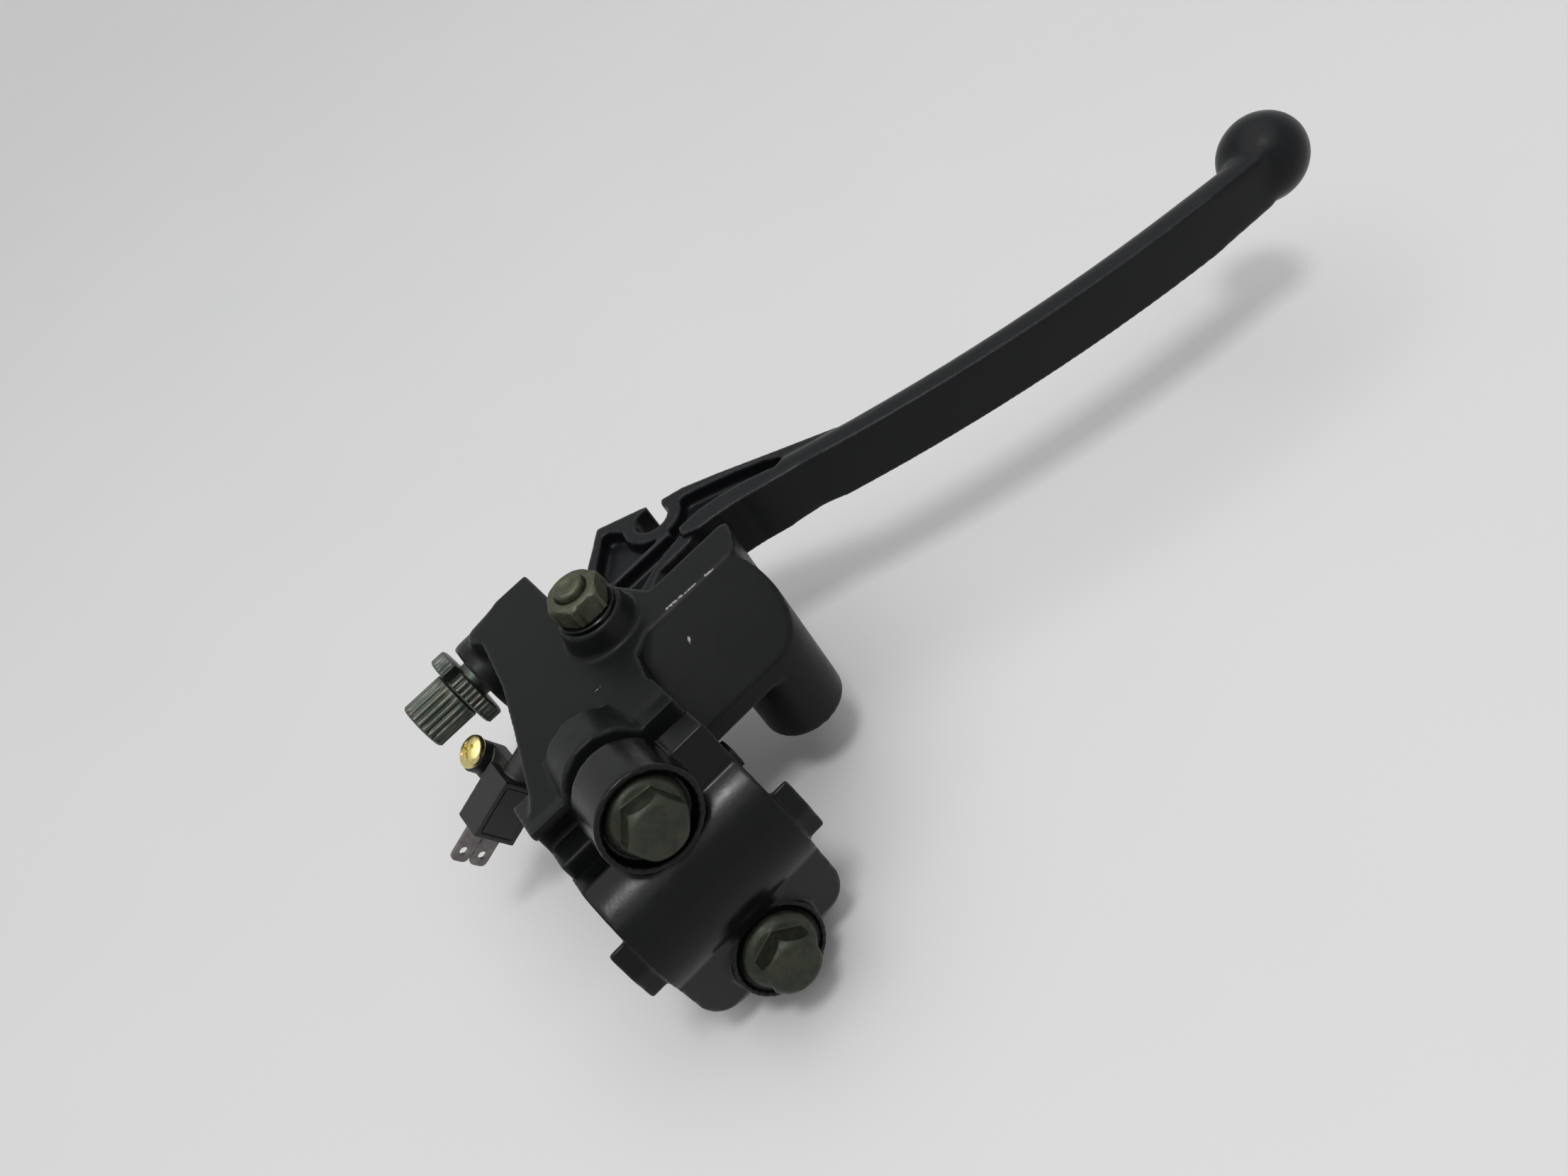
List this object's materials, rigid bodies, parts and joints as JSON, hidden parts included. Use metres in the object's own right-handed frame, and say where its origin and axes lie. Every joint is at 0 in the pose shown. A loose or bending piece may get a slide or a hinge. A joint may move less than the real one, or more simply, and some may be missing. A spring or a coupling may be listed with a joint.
{
  "type": "cable clutch lever holder",
  "caption": "Black left-hand motorcycle lever holder with split bar clamp, mirror boss, cable adjuster, lever switch and ball-end lever.",
  "frame": {"origin": "centre of the handlebar bore, at the middle of the clamp's width", "axes": "+X along the handlebar towards the lever's ball end, +Z along the lever pivot towards its nut, +Y forward, away from the bar"},
  "size_m": [0.2226, 0.1017, 0.0645],
  "materials": {
    "perch_paint": "satin",
    "cap_paint": "satin",
    "lever_paint": "gloss",
    "olive_zinc": "satin",
    "pale_zinc": "satin",
    "adjuster_zinc": "satin",
    "yellow_zinc": "gloss",
    "bush_bronze": "satin",
    "switch_plastic": "matte",
    "terminal_tin": "satin",
    "contact_brass": "satin",
    "plunger_plastic": "satin",
    "spring_steel": "satin",
    "seal_rubber": "matte"
  },
  "bodies": {
    "perch": {"perch_body": "perch_paint", "clamp_cap": "cap_paint", "clamp_bolt_upper": "olive_zinc", "clamp_bolt_lower": "olive_zinc", "pivot_bolt": "pale_zinc", "pivot_nut": "pale_zinc", "pivot_washer": "perch_paint", "switch_housing": "switch_plastic", "switch_cover": "switch_plastic", "terminal_upper": "terminal_tin", "terminal_lower": "terminal_tin", "switch_screw": "yellow_zinc", "nose_seal": "seal_rubber"},
    "lever_arm": {"lever": "lever_paint", "lever_bush": "bush_bronze"},
    "plunger_set": {"switch_plunger": "plunger_plastic", "plunger_spring": "spring_steel", "contact_bridge": "contact_brass"},
    "adjuster": {"cable_adjuster": "adjuster_zinc"},
    "lock_ring": {"adjuster_lock_ring": "adjuster_zinc"}
  },
  "joints": [
    {"name": "lever_pivot", "type": "hinge", "parent": "perch", "child": "lever_arm", "pos_m": [0.017, 0.037, 0.0084], "axis": [0, 0, 1], "range_deg": [-2, 24]},
    {"name": "plunger_slide", "type": "slide", "parent": "perch", "child": "plunger_set", "axis": [0.9397, 0, 0.342], "range_m": [-0.0034, 0.0003]},
    {"name": "adjuster_travel", "type": "slide", "parent": "perch", "child": "adjuster", "axis": [-1, 0, 0], "range_m": [0, 0.008]},
    {"name": "ring_turn", "type": "hinge", "parent": "perch", "child": "lock_ring", "pos_m": [-0.0103, 0.07, 0.0084], "axis": [1, 0, 0], "continuous": true}
  ],
  "couplings": [
    {"joint": "plunger_slide", "follows": "lever_pivot", "m_per_rad": -0.0078}
  ]
}
